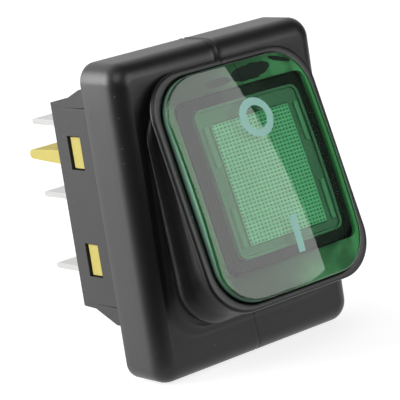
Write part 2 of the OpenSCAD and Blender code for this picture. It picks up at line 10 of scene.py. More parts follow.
import bpy
import numpy as np
from mathutils import Matrix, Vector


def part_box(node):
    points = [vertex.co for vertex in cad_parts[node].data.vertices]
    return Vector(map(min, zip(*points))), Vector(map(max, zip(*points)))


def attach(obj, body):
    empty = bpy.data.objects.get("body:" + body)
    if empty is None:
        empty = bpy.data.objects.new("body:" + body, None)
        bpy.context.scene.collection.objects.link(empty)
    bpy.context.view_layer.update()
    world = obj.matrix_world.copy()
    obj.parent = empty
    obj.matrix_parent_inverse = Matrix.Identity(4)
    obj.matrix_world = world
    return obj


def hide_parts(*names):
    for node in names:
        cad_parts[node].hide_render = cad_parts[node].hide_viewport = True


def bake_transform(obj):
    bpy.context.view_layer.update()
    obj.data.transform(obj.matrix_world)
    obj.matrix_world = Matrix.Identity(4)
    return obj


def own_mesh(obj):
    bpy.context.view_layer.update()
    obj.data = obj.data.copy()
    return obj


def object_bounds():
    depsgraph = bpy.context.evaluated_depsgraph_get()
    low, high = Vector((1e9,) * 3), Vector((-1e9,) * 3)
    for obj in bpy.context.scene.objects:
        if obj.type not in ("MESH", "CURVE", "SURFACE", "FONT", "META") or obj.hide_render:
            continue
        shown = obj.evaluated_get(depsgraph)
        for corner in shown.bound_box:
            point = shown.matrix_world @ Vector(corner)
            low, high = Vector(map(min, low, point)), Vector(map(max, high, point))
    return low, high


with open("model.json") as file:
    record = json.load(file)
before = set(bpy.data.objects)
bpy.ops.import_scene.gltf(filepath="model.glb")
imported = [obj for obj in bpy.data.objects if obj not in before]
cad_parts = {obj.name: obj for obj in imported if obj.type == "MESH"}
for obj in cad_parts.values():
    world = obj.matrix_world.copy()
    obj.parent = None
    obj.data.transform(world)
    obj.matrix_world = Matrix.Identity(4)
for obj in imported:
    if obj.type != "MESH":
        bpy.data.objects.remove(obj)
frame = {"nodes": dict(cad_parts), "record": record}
cad_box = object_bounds()
MM = 0.001
print("nodes:", len(frame["nodes"]), "box:", cad_box)

# %% [markdown]
# The rocker turns about one axis, so most sizes here are measured from that pivot, in millimetres:
# x across the face, y up the face, and z out of the panel. A rocker that lies halfway through its
# travel is square to the panel. At rest it is turned by half of the joint's range, and the folds of
# the boot are turned by a share of that, which is what lets the boot bend smoothly. Pieces could be
# drawn square and then rotated as objects; turning their points keeps every object at the origin.

# %% Pivot and tilt, from the joint
joints = {joint["name"]: joint for joint in frame["record"]["behaviour"]["joints"]}
REST_TILT = math.radians(joints["rocker_tilt"]["range_deg"][1]) / 2
PIVOT_OUT = -joints["rocker_tilt"]["pos_m"][1] / MM


def box_mm(node):
    """Lowest and highest corner of a solid, in millimetres."""
    low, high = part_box(node)
    return np.array(low) / MM, np.array(high) / MM


def placed(points, share):
    """Turns drawn points (x, y, z from the pivot) about the pivot by share of the rest tilt, into metres.

    up = y cos a + z sin a, out = z cos a - y sin a, and the part's own axes are (x, -out, up).
    """
    x, y, z = np.moveaxis(np.asarray(points, float), -1, 0)
    a = REST_TILT * np.asarray(share, float)
    up = y * np.cos(a) + z * np.sin(a)
    out = PIVOT_OUT + z * np.cos(a) - y * np.sin(a)
    return np.stack([x, -out, up], axis=-1) * MM


print("tilt", round(math.degrees(REST_TILT), 2), "degrees, pivot", PIVOT_OUT, "mm out of the panel")

# %% [markdown]
# The photograph's perspective was solved from the switch's own edges. The camera stands to the left
# and a little above. It could be aimed by a constraint or by three angles. It leans slightly, so its
# axes are written out instead, as the columns of its matrix.

# %% Camera
CAMERA_AT = (-0.1661, -0.2205, 0.0594)
CAMERA_RIGHT = np.array((0.7707, -0.6191, -0.1506))
CAMERA_UP = np.array((0.2494, 0.0756, 0.9654))
CAMERA_BACK = np.cross(CAMERA_RIGHT, CAMERA_UP)
FOCAL_PIXELS = 2119
IMAGE_SIDE = 400
SENSOR = 36
NEAREST = 0.01


def stand(made, right, up, back, at):
    """Adds an object to the scene with the given axes as its matrix's columns, at a place."""
    bpy.context.scene.collection.objects.link(made)
    turn = np.eye(4)
    turn[:3, :3] = np.stack([right, up, back], axis=1)
    turn[:3, 3] = at
    made.matrix_world = Matrix(turn.tolist())


camera_data = bpy.data.cameras.new("camera")
camera_data.sensor_width = SENSOR
camera_data.lens = FOCAL_PIXELS / IMAGE_SIDE * SENSOR
camera_data.clip_start = NEAREST
camera = bpy.data.objects.new("camera", camera_data)
stand(camera, CAMERA_RIGHT, CAMERA_UP, CAMERA_BACK, CAMERA_AT)
bpy.context.scene.camera = camera
print("lens", round(camera_data.lens, 1), "mm")

# %% [markdown]
# Nearly every new piece is a stack of rounded rectangles: a profile carried round a rectangular path.
# It could be modelled by hand with bevels. A table of rows was chosen, because each row can be set to
# an edge that was measured. A row gives the rectangle's width, height and corner radius, its distance
# from the pivot and its share of the tilt. All rings are worked out together as one array.

# %% Rings
ARC_STEPS = 14
EDGE_STEPS = 30
EVEN_SHARE = 0.04


def ring_grid(w, h, r):
    """Rounded rectangles, one per row: corner centre (w/2 - r, h/2 - r) plus r (cos t, sin t) on each
    corner's quarter turn. Steps along the straight edges crowd towards the middle of the edge."""
    w, h, r = (np.asarray(a, float)[:, None] for a in (w, h, r))
    t = np.linspace(0, np.pi / 2, ARC_STEPS + 1)
    corners = []
    for k, (sx, sy) in enumerate(((1, 1), (-1, 1), (-1, -1), (1, -1))):
        angle = t + k * np.pi / 2
        x = sx * (w / 2 - r) + r * np.cos(angle)
        y = sy * (h / 2 - r) + r * np.sin(angle)
        corners.append(np.stack([x, y], axis=-1))
    s = np.arange(1, EDGE_STEPS) / EDGE_STEPS * 2 - 1
    f = (0.5 + 0.5 * (EVEN_SHARE * s + (1 - EVEN_SHARE) * s ** 3))[None, :, None]
    parts = []
    for k in range(4):
        here, after = corners[k], corners[(k + 1) % 4]
        parts += [here, here[:, -1:] * (1 - f) + after[:, :1] * f]
    return np.concatenate(parts, axis=1)


def lofted(rows, across=0.0, up=0.0):
    """World rings of profile rows (width, height, radius, distance from the pivot, share of tilt),
    with their middles moved across and up the face."""
    w, h, r, z, share = np.asarray(rows, float).T
    flat = ring_grid(w, h, r) + np.array((across, up))
    depth = np.broadcast_to(z[:, None, None], flat.shape[:2] + (1,))
    return placed(np.concatenate([flat, depth], axis=-1), share[:, None])


def smooth_rows(rows, steps):
    """Catmull-Rom curve through the rows, with no kinks: between b and c each value is the cubic that
    starts with the slope (c - a) / 2 and ends with the slope (d - b) / 2."""
    p = np.asarray(rows, float)
    p = np.vstack([2 * p[0] - p[1], p, 2 * p[-1] - p[-2]])
    t = np.linspace(0, 1, steps, endpoint=False)[None, :, None]
    a, b, c, d = (p[i:len(p) - 3 + i, None, :] for i in range(4))
    cubic = 1.5 * (b - c) + (d - a) / 2
    curve = b + t * ((c - a) / 2 + t * (a - 2.5 * b + 2 * c - d / 2 + t * cubic))
    return np.vstack([curve.reshape(-1, p.shape[1]), p[-2]])


print("points in a ring:", 4 * (ARC_STEPS + EDGE_STEPS))

# %% [markdown]
# Rings become a mesh of four-sided faces. Blender can bridge loops of edges by an operator, but the
# numbers of the faces follow a plain rule, so they are written as one array. Faces that point inwards
# would bend light the wrong way in the clear window, so the enclosed volume says which way round they go.

# %% Skins over the rings
SHARP_DEGREES = 35


def enclosed(mesh, points):
    """Six times the volume inside a closed mesh: the sum of a . (b x c) over its triangles."""
    mesh.calc_loop_triangles()
    corners = np.empty(3 * len(mesh.loop_triangles), np.int32)
    mesh.loop_triangles.foreach_get("vertices", corners)
    a, b, c = (points[corners[k::3]] for k in range(3))
    return np.einsum("ij,ij->", a, np.cross(b, c))


def mesh_object(name, points, faces, material):
    """Mesh of numpy points and faces, turned so that its enclosed volume is positive."""
    mesh = bpy.data.meshes.new(name)
    mesh.from_pydata(points.tolist(), [], faces)
    if enclosed(mesh, points) < 0:
        mesh.clear_geometry()
        mesh.from_pydata(points.tolist(), [], [face[::-1] for face in faces])
    mesh.polygons.foreach_set("use_smooth", np.ones(len(faces), bool))
    mesh.set_sharp_from_angle(angle=math.radians(SHARP_DEGREES))
    mesh.materials.append(material)
    made = bpy.data.objects.new(name, mesh)
    bpy.context.scene.collection.objects.link(made)
    print(name, len(points), "points", len(faces), "faces")
    return made


def skin(name, rings, material, wrap=False):
    """Closed skin over a stack of rings, with four-sided faces between each ring and the next: a tube
    bent back on itself, where wrap joins the last ring to the first, or a stack with flat ends."""
    count, around = rings.shape[:2]
    k, i = np.meshgrid(np.arange(count if wrap else count - 1), np.arange(around), indexing="ij")
    after, j = (k + 1) % count, (i + 1) % around
    quads = np.stack([k * around + i, k * around + j, after * around + j, after * around + i], axis=-1)
    faces = quads.reshape(-1, 4).tolist()
    if not wrap:
        faces.append(list(range(around))[::-1])
        faces.append(list(range((count - 1) * around, count * around)))
    return mesh_object(name, rings.reshape(-1, 3), faces, material)


print("edges over", SHARP_DEGREES, "degrees stay sharp")

# %% [markdown]
# A finish is a little program of shader nodes. It could be wired by hand in the node editor. Here one
# class wraps a node's output, so that sums of values can be written as Python sums, and one method
# adds any other node. Numbers that are the same all over a surface are set on the shader itself.

# %% Shader values as Python expressions
class Wire:
    """A value in a shader tree: an output socket that works in Python sums."""

    def __init__(self, tree, socket=None):
        self.tree = tree
        self.socket = socket

    def node(self, kind, settings=None, sockets=None, out=0):
        """Adds a node: its settings first, then the values or wires of its sockets."""
        made = self.tree.nodes.new(kind)
        for key, value in (settings or {}).items():
            setattr(made, key, value)
        for key, value in (sockets or {}).items():
            if isinstance(value, Wire):
                self.tree.links.new(value.socket, made.inputs[key])
            else:
                made.inputs[key].default_value = value
        return Wire(self.tree, made.outputs[out])

    def math(self, operation, first, second=0.0):
        """One Math node on two values or wires."""
        return self.node("ShaderNodeMath", {"operation": operation}, {0: first, 1: second})

    def __add__(self, other):
        return self.math("ADD", self, other)

    def __sub__(self, other):
        return self.math("SUBTRACT", self, other)

    def __rsub__(self, other):
        return self.math("SUBTRACT", other, self)

    def __mul__(self, other):
        return self.math("MULTIPLY", self, other)

    def __abs__(self):
        return self.math("ABSOLUTE", self)

    __radd__ = __add__
    __rmul__ = __mul__


def finish(name):
    """New material: returns it, its shader and a wire that reads Object coordinates."""
    made = bpy.data.materials.new(name)
    made.use_nodes = True
    tree = made.node_tree
    shader = tree.nodes["Principled BSDF"]
    place = Wire(tree).node("ShaderNodeTexCoord", out="Object")
    print("finish", name)
    return made, shader, place


def feed(shader, **sockets):
    """Sets or links the shader's sockets by name, with _ for a space."""
    for key, value in sockets.items():
        socket = shader.inputs[key.replace("_", " ")]
        if isinstance(value, Wire):
            value.tree.links.new(value.socket, socket)
        else:
            socket.default_value = value


print("materials before the finishes:", len(bpy.data.materials))

# %% [markdown]
# Real surfaces vary a little everywhere: clouds, grain, soft edges between two colours, and shallow
# relief. Painted images could carry these. Noise and ramps were chosen, because they need no picture
# and stay sharp at any distance.

# %% Helpers for finishes
def noise(place, per_mm, detail=3.0, rough=0.55):
    """Cloudy value from 0 to 1, with about per_mm lumps in each millimetre."""
    return place.node("ShaderNodeTexNoise", None,
                      {"Vector": place, "Scale": per_mm / MM, "Detail": detail, "Roughness": rough})


def ramp(value, low, high):
    """0 below low, 1 above high, and an even curve between them."""
    return value.node("ShaderNodeMapRange", {"interpolation_type": "SMOOTHSTEP"},
                      {"Value": value, "From Min": low, "From Max": high})


def ramp_mm(value, low, high):
    """The same ramp, with its ends in millimetres."""
    return ramp(value, low * MM, high * MM)


def mixed(factor, first, second):
    """Colour that goes from the first to the second as factor goes from 0 to 1. Sockets 6 and 7 of the
    Mix node are its colours, and output 2 is the mixed colour."""
    return factor.node("ShaderNodeMix", {"data_type": "RGBA"}, {0: factor, 6: first, 7: second}, out=2)


def bumped(height, depth_mm):
    """Surface normal tipped by a height from 0 to 1 that stands for depth_mm."""
    return height.node("ShaderNodeBump", None, {"Height": height, "Distance": depth_mm * MM})


def stretched(place, scale):
    """Coordinates times a scale: noise read there is long where the scale is small."""
    return place.node("ShaderNodeMapping", None, {"Vector": place, "Scale": scale})


def axis(place, name):
    """One of the X, Y or Z coordinates of a place."""
    return place.node("ShaderNodeSeparateXYZ", None, {0: place}, out=name)


def rgb(red, green, blue):
    """Opaque colour."""
    return (red, green, blue, 1.0)


def grey(value):
    """Opaque grey, with the same value in all three channels."""
    return rgb(value, value, value)


print("middle grey:", grey(0.5))

# %% [markdown]
# The boot is soft black rubber with a satin skin. It has a faint grain, some smears and specks of dust.
# Specks could be tiny pieces; a texture is lighter. A speck is the middle of a random cell of a Voronoi
# texture, and only a few cells get one. The boot's mesh carries two values of its own: fold is 0 on the
# frame and 1 at the collar, where the skin is painted darker as shade, and weld is 1 in the line where the
# two streams of the moulding met, whose groove is painted darker as shade. The frame's sides are painted
# lighter than its front, as a painted sheen.

# %% Finish of the boot
SPECK_CORE, PICK_STEP = 0.6, 0.001
SIDES_FROM, SIDES_ALL = -7.2, -5.0
FRONT_BLACKS = grey(0.010), grey(0.014)
# The fold's black and the weld groove's black are painted shade, the sides' grey is a painted sheen, and
# the dust grey is real dust.
FOLD_SHADE_BLACK, WELD_SHADE_BLACK = grey(0.006), grey(0.003)
SIDE_SHEEN_GREY, DUST_GREY = grey(0.040), grey(0.12)


def specks(place, per_mm, size, share):
    """1 in small round dots: near the middle of a share of the cells of a Voronoi texture."""
    cells = {"Vector": place, "Scale": per_mm / MM}
    away = place.node("ShaderNodeTexVoronoi", None, cells, out="Distance")
    pick = axis(place.node("ShaderNodeTexVoronoi", None, cells, out="Color"), "X")
    near = 1 - ramp(away, size * SPECK_CORE, size)
    return near * ramp(pick, 1 - share, 1 + PICK_STEP - share)


def carried(place, name):
    """Value that the mesh carries at each point."""
    return place.node("ShaderNodeAttribute", {"attribute_name": name}, out="Fac")


boot_finish, shader, place = finish("boot_rubber")
clouds = noise(place, 0.25)
grain = noise(place, 9.0, detail=2.0)
smears = ramp(noise(stretched(place, (0.12, 1.0, 1.0)), 0.9, detail=4.0), 0.5, 0.8)
fold = ramp(carried(place, "fold"), 0.0, 0.3)
# Painted shade over the fold and collar, a painted sheen on the frame's sides, and painted shade in the
# weld groove.
black = mixed(fold, mixed(clouds, *FRONT_BLACKS), FOLD_SHADE_BLACK)
black = mixed(ramp_mm(axis(place, "Y"), SIDES_FROM, SIDES_ALL), black, SIDE_SHEEN_GREY)
black = mixed(carried(place, "weld"), black, WELD_SHADE_BLACK)
feed(shader, Base_Color=mixed(specks(place, 0.8, 0.10, 0.12), black, DUST_GREY),
     Roughness=0.33 + clouds * 0.06 + smears * 0.05,
     Normal=bumped(grain * 0.12 + smears * 0.12, 0.07))

# %% [markdown]
# The window is clear green plastic. It could be faked with a see-through gloss. Real transmission was
# chosen, because it gives the bright edges and the mirror of the softbox for free. Light that falls
# through it would be slow to find, so shadow rays meet a plain green filter instead of glass. Its
# underside lies close to the cap and mirrors nothing. A thin weld line ends near its top.

# %% Finish of the clear window
CLEAR_TINTS = rgb(0.56, 0.87, 0.66), rgb(0.60, 0.89, 0.69)
SHADOW_TINT = rgb(0.75, 0.93, 0.80)
LINE_TINT = rgb(0.03, 0.08, 0.05)
LINE_WANDER, LINE_CORE, LINE_EDGE = 1.2, 0.01, 0.07
LINE_FROM, LINE_FULL = 10.6, 10.7
WINDOW_IOR = 1.58


def face_height(place):
    """Height up the face from the pivot, for the window at rest."""
    inward = axis(place, "Y") + PIVOT_OUT * MM
    return axis(place, "Z") * math.cos(REST_TILT) + inward * math.sin(REST_TILT)


def ray_kind(wire, kind):
    """1 for one kind of ray, such as Is Shadow Ray, and 0 for every other kind."""
    return wire.node("ShaderNodeLightPath", out=kind)


def let_light_through(material, shader, tint):
    """Shadow rays pass the surface and take its tint, and every other ray meets the shader."""
    surface = Wire(material.node_tree, shader.outputs[0])
    filtered = surface.node("ShaderNodeBsdfTransparent", None, {"Color": tint})
    shadow = ray_kind(surface, "Is Shadow Ray")
    both = surface.node("ShaderNodeMixShader", None, {0: shadow, 1: surface, 2: filtered})
    material.node_tree.links.new(both.socket, material.node_tree.nodes["Material Output"].inputs[0])


def clear_finish(name):
    """Clear green plastic: an uneven tint, and a thin weld line near the top."""
    made, shader, place = finish(name)
    middle = axis(place, "X") + (noise(place, 0.3) - 0.5) * (LINE_WANDER * MM)
    line = 1 - ramp_mm(abs(middle), LINE_CORE, LINE_EDGE)
    line = line * ramp_mm(face_height(place), LINE_FROM, LINE_FULL)
    feed(shader, Base_Color=mixed(line, mixed(noise(place, 0.12), *CLEAR_TINTS), LINE_TINT),
         Roughness=0.028 + noise(place, 0.2) * 0.006, Transmission_Weight=1.0, IOR=WINDOW_IOR)
    let_light_through(made, shader, SHADOW_TINT)
    return made, shader


window_finish, shader = clear_finish("clear_green")
under_finish, shader = clear_finish("clear_underside")
feed(shader, Specular_Tint=grey(0.0))

# %% [markdown]
# The window's foot and upright sides are left matte by the mould: the foot makes the green margin, and the
# side is pale above the collar's gap, where painted shade darkens it towards the foot. The margin has
# painted shade towards the left and painted light towards the sides, which is brightest at the right. At
# the top some black rubber has crept under the foot. It could be a thin piece of its own. It is part of the
# finish, because it has no thickness to see.

# %% Finish of the window's foot and sides
# Patches of rubber: middle across and up the face, half width, half height, lean.
CREPT = ((3.0, 13.2, 3.4, 1.05, 0.05), (8.4, 13.8, 1.9, 0.36, -0.30), (-2.3, 12.9, 2.2, 0.55, 0.0))
CREPT_BLACK = grey(0.006)
RAGGED_PER_MM, RAGGED_BY, RAGGED_EDGE = 0.6, 1.7, 0.12
MARGIN_GREENS = rgb(0.057, 0.190, 0.085), rgb(0.132, 0.39, 0.175)
# The left green is painted shade, and the side and right greens are painted light.
LEFT_SHADE_GREEN, SIDE_LIT_GREEN, RIGHT_LIT_GREEN = rgb(0.018, 0.058, 0.027), rgb(0.13, 0.40, 0.18), rgb(0.21, 0.62, 0.29)
LEFT_ENDS, RIGHT_STARTS = -5, 5
SIDE_STARTS, SIDE_FULL = 9.5, 11
# The gap's colour is painted shade at the wall's foot.
GAP_SHADE = rgb(0.004, 0.010, 0.008)
FROSTS = rgb(0.20, 0.40, 0.29), rgb(0.25, 0.45, 0.34)
GAP_OUT, FROST_OUT = 11.8, 12.2


def face_out_by(place):
    """Distance out of the face from the pivot, for the window at rest."""
    inward = axis(place, "Y") + PIVOT_OUT * MM
    return axis(place, "Z") * math.sin(REST_TILT) - inward * math.cos(REST_TILT)


def ragged(place, x, y, across, up, lean):
    """1 inside a ragged ellipse on the face: 1 - (x / across)^2 - (y / up)^2 plus noise is above 0."""
    aside = axis(place, "X") - x * MM
    far_x = aside * (1 / (across * MM))
    far_y = (face_height(place) - y * MM - aside * lean) * (1 / (up * MM))
    rough_edge = (noise(place, RAGGED_PER_MM, detail=4.0) - 0.5) * RAGGED_BY
    return ramp(1 - far_x * far_x - far_y * far_y + rough_edge, 0.0, RAGGED_EDGE)


margin_finish, shader, place = finish("matte_green")
crept = ragged(place, *CREPT[0])
for patch in CREPT[1:]:
    crept = place.math("MAXIMUM", crept, ragged(place, *patch))
across = axis(place, "X")
green = mixed(ramp(noise(place, 0.28, detail=2.0), 0.35, 0.70), *MARGIN_GREENS)
# Painted shade towards the left, and painted light towards the sides, which is brightest at the right.
green = mixed(ramp_mm(across, LEFT_ENDS, RIGHT_STARTS), LEFT_SHADE_GREEN, green)
green = mixed(ramp_mm(abs(across), SIDE_STARTS, SIDE_FULL), green, SIDE_LIT_GREEN)
green = mixed(ramp_mm(across, SIDE_STARTS, SIDE_FULL), green, RIGHT_LIT_GREEN)
feed(shader, Base_Color=mixed(crept, green, CREPT_BLACK), Roughness=0.55 + noise(place, 2.0) * 0.2)

wall_finish, shader, place = finish("frosted_wall")
# Painted shade: the wall goes dark towards its foot, in the collar's gap.
above_gap_shade = ramp_mm(face_out_by(place), GAP_OUT, FROST_OUT)
feed(shader, Base_Color=mixed(above_gap_shade, GAP_SHADE, mixed(noise(place, 0.3), *FROSTS)),
     Roughness=0.35 + noise(place, 1.0) * 0.1)
let_light_through(wall_finish, shader, SHADOW_TINT)

# %% [markdown]
# The lens is tinted plastic. Its smooth rim lets one look down at the black rocker, so it looks dark.
# Its field of small pits scatters light: the net between the pits is pale, and their points are dark.
# All this could be left to glass over black, which is slow and full of grain. Solid colours that follow the
# depth of a pit look much the same from the front: the dark towards each pit's point is painted shade.

# %% Finishes of the lens
RIM_LEFT, RIM_RIGHT = rgb(0.065, 0.18, 0.105), rgb(0.033, 0.095, 0.055)
RIM_LEFT_ENDS, RIM_RIGHT_STARTS, RIM_UNEVEN = -7, 5, 4
RAIL_GREENS, RAIL_IOR = (rgb(0.10, 0.24, 0.15), rgb(0.13, 0.28, 0.18)), 1.49
PIT_TOP, PIT_TIP = 12.62, 12.26
PIT_SHADE_GREEN = rgb(0.045, 0.14, 0.07)
NET_PALES = rgb(0.42, 0.71, 0.56), rgb(0.48, 0.77, 0.62)
SHADE_UP, NET_DOWN = 0.04, 0.06

rim_finish, shader, place = finish("lens_rim")
uneven = (noise(place, 0.3) - 0.5) * (RIM_UNEVEN * MM)
to_right = ramp_mm(axis(place, "X") + uneven, RIM_LEFT_ENDS, RIM_RIGHT_STARTS)
feed(shader, Base_Color=mixed(to_right, RIM_LEFT, RIM_RIGHT), Roughness=0.30 + noise(place, 2.0) * 0.1)

rail_finish, shader, place = finish("lens_rail")
feed(shader, Base_Color=mixed(noise(place, 0.3), *RAIL_GREENS), Roughness=0.30 + noise(place, 2.0) * 0.1,
     IOR=RAIL_IOR)

field_finish, shader, place = finish("lens_field")
# Painted shade: the pits darken towards their points.
shallow = ramp_mm(face_out_by(place), PIT_TIP + SHADE_UP, PIT_TOP - NET_DOWN)
feed(shader, Base_Color=mixed(shallow, PIT_SHADE_GREEN, mixed(noise(place, 0.3), *NET_PALES)),
     Roughness=0.35 + noise(place, 2.0) * 0.1)

# %% [markdown]
# Rocker and housing are the same black nylon. The rocker is moulded smooth, and the housing has the
# fine spark texture of its mould, a few pale rub marks and a dusty tone. The texture could be cut into
# the mesh, but it is far finer than a pixel, so it only tips the surface normal.

# %% Finish of the rocker and the housing
ROCKER_BLACKS = grey(0.006), grey(0.010)
HOUSING_BLACKS = grey(0.022), grey(0.032)
RUB_GREY, RUB_STRENGTH = grey(0.11), 0.25

rocker_finish, shader, place = finish("rocker_black")
feed(shader, Base_Color=mixed(noise(place, 0.3), *ROCKER_BLACKS),
     Roughness=0.62 + noise(place, 1.5) * 0.15, Specular_IOR_Level=0.1)

housing_finish, shader, place = finish("housing_black")
spark = noise(place, 6.0, detail=2.0)
rubs = ramp(noise(place, 0.9, detail=6.0, rough=0.7), 0.60, 0.72)
nylon = mixed(noise(place, 0.2), *HOUSING_BLACKS)
feed(shader, Base_Color=mixed(rubs * RUB_STRENGTH, nylon, RUB_GREY),
     Roughness=0.46 + spark * 0.18, Normal=bumped(spark, 0.02))

# %% [markdown]
# The terminal base is matte yellow thermoset. The tabs are tinned brass: bright, with fine lines along
# their length, which is the Y axis. An anisotropic shader could draw such a sheen. Noise that is
# stretched along Y was chosen, because it shows the lines themselves close by.

# %% Finish of the base and of the metals
YELLOWS = rgb(0.55, 0.455, 0.098), rgb(0.60, 0.51, 0.12)
LINE_SHADE = 0.86

yellow_finish, shader, place = finish("base_yellow")
feed(shader, Base_Color=mixed(noise(place, 0.4), *YELLOWS),
     Roughness=0.5 + noise(place, 3.0) * 0.2, Normal=bumped(noise(place, 5.0), 0.015))


def metal(name, colour, rough):
    """Sheet metal with fine drawn lines along Y."""
    made, shader, place = finish(name)
    lines = noise(stretched(place, (1.0, 0.04, 1.0)), 7.0, detail=2.0)
    dark = rgb(*(LINE_SHADE * c for c in colour))
    feed(shader, Base_Color=mixed(lines, dark, rgb(*colour)), Metallic=1.0,
         Roughness=rough + lines * 0.12, Normal=bumped(lines, 0.006))
    return made


tin_finish = metal("tinned_tab", (0.80, 0.80, 0.785), 0.10)
brass_finish = metal("lever_brass", (0.78, 0.58, 0.28), 0.24)
silver_finish = metal("contact_silver", (0.90, 0.90, 0.88), 0.16)
spring_finish = metal("spring_wire", (0.62, 0.62, 0.64), 0.22)

# %% [markdown]
# The lamp's parts are inside, seen only when the switch is taken apart: clear glass, and a resistor in
# tan lacquer with dark red bands along its length. The bands could be rings of their own; a sine wave
# along the resistor draws them with no more mesh. The marks are pale ink that lets light past.

# %% Finish of the lamp's parts and of the marks
GLASS_TINTS = rgb(0.95, 0.90, 0.86), rgb(0.98, 0.95, 0.92)
LACQUER, BAND_RED, BAND_WAVE = rgb(0.50, 0.36, 0.20), rgb(0.34, 0.08, 0.04), 2.6
INKS, INK_SHADOW = (rgb(0.28, 0.56, 0.49), rgb(0.33, 0.61, 0.54)), grey(0.9)

glass_finish, shader, place = finish("lamp_glass")
feed(shader, Base_Color=mixed(noise(place, 0.3), *GLASS_TINTS),
     Roughness=0.03 + noise(place, 1.0) * 0.03, Transmission_Weight=1.0)

resistor_finish, shader, place = finish("resistor_lacquer")
bands = ramp(place.math("SINE", axis(place, "Z") * (BAND_WAVE / MM)), 0.55, 0.75)
feed(shader, Base_Color=mixed(bands, LACQUER, BAND_RED), Roughness=0.35 + noise(place, 1.0) * 0.1)

mark_finish, shader, place = finish("mark_ink")
feed(shader, Base_Color=mixed(noise(place, 1.0), *INKS), Roughness=0.35 + noise(place, 3.0) * 0.15)
let_light_through(mark_finish, shader, INK_SHADOW)

# %% [markdown]
# A solid whose shape is right stays and only gets a finish. Left and right twins share one, so a
# solid's name without its hand, or the last word of that, picks the finish from a table. A finish
# could be set for every solid by name, but the table is shorter and leaves no twin out.

# %% Put the finishes on the solids
FINISHES = {"housing": housing_finish, "terminal_base": yellow_finish, "rocker": rocker_finish,
            "plunger": rocker_finish, "contact_lever": brass_finish, "lever_contact": silver_finish,
            "fixed_contact": silver_finish, "lamp_bulb": glass_finish, "lamp_resistor": resistor_finish,
            "lamp_lead": tin_finish, "terminal": tin_finish, "plunger_spring": spring_finish}
finished = 0
for name, solid in frame["nodes"].items():
    stem = name.replace("_left", "").replace("_right", "")
    kind = stem if stem in FINISHES else stem.split("_")[-1]
    if kind in FINISHES:
        solid.data.materials.clear()
        solid.data.materials.append(FINISHES[kind])
        finished += 1
print("finishes on", finished, "solids")

# %% [markdown]
# The boot is one moulding: a frame that lies on the panel, one fold, and a collar that grips the
# window. It could be three pieces that meet, but rubber shows no seams, so it is one closed tube of
# rings, out over the front and back along the inside. Rows of the frame have no share of the tilt, and
# rows of the collar have all of it.

# %% Profile of the boot
frame_low, frame_high = box_mm("boot_frame")
FRAME_W = frame_high[0] - frame_low[0]
FRAME_H = frame_high[2] - frame_low[2]
FRAME_FRONT = -frame_low[1]
EDGE_R, EDGE_TURN, EDGE_ROWS, FACE_R = 2.5, 80, 11, 0.5
# BACK_EDGE: how much narrower, distance from the panel. FOLD_FOOT: width, height, radius, depth under the
# front. FOLD, COLLAR and INSIDE: width, height, radius, distance from the pivot, share of the tilt.
BACK_EDGE = ((0.3, 0.0), (0.06, 0.05), (0.0, 0.2))
FOLD_STEPS = 6
FOLD_FOOT = ((29.0, 36.4, 1.8, 0.01), (28.9, 34.2, 3.2, 0.03), (28.6, 32.4, 4.4, 0.05),
             (27.9, 31.1, 5.0, 0.10))
FOLD = ((27.0, 30.0, 5.3, 6.02, 0.03), (26.45, 29.35, 5.4, 6.32, 0.12), (26.3, 29.0, 5.5, 6.65, 0.24),
        (26.85, 29.5, 5.6, 7.0, 0.31), (27.2, 29.85, 5.6, 7.4, 0.35), (27.25, 29.9, 5.6, 7.8, 0.38),
        (26.95, 29.65, 5.6, 8.15, 0.41), (26.3, 29.2, 5.6, 8.5, 0.46), (25.3, 28.65, 5.6, 8.95, 0.55),
        (24.4, 28.3, 5.5, 9.7, 0.72), (24.7, 28.8, 5.5, 10.6, 0.90), (25.8, 30.4, 5.6, 11.12, 0.99))
COLLAR = ((26.8, 31.7, 5.7, 11.4, 1.0), (27.05, 31.9, 5.7, 11.65, 1.0), (26.9, 31.8, 5.7, 11.93, 1.0),
          (26.5, 31.5, 5.65, 12.08, 1.0), (25.85, 31.1, 5.6, 12.12, 1.0), (25.25, 30.7, 5.57, 12.11, 1.0),
          (24.75, 30.4, 5.55, 12.06, 1.0), (24.4, 30.15, 5.5, 11.9, 1.0), (24.25, 30.02, 5.5, 11.6, 1.0))
INSIDE = ((24.25, 30.0, 5.5, 11.2, 1.0), (22.6, 26.5, 4.6, 9.7, 0.72), (25.4, 28.1, 4.7, 7.7, 0.36),
          (24.4, 27.2, 4.4, 5.6, 0.06))
BEZEL_W, BEZEL_H, BEZEL_R, BEZEL_FRONT, LIP = 25.6, 33.2, 1.5, 3.3, 1.2
HOLE_W, HOLE_H, HOLE_R = 21.7, 28.9, 0.2
FRAME_INSIDE = ((24.8, 27.4, 2.4, 5.8), (24.8, 27.4, 2.3, BEZEL_FRONT),
                (BEZEL_W, BEZEL_H, BEZEL_R, BEZEL_FRONT), (BEZEL_W, BEZEL_H, BEZEL_R, LIP),
                (HOLE_W, HOLE_H, HOLE_R, LIP), (HOLE_W, HOLE_H, HOLE_R, 0.0))


def fixed_row(w, h, r, out):
    """Row of the frame, which doesn't tilt: its distance is given from the panel."""
    return (w, h, r, out - PIVOT_OUT, 0.0)


def edge_row(a):
    """Row of the frame's rounded front edge at angle a: EDGE_R (1 - cos a) narrower on each side, and
    EDGE_R sin a further out."""
    narrower = 2 * EDGE_R * (1 - math.cos(a))
    return fixed_row(FRAME_W - narrower, FRAME_H - narrower, EDGE_R * math.cos(a) + FACE_R * math.sin(a),
                     side + EDGE_R * math.sin(a))


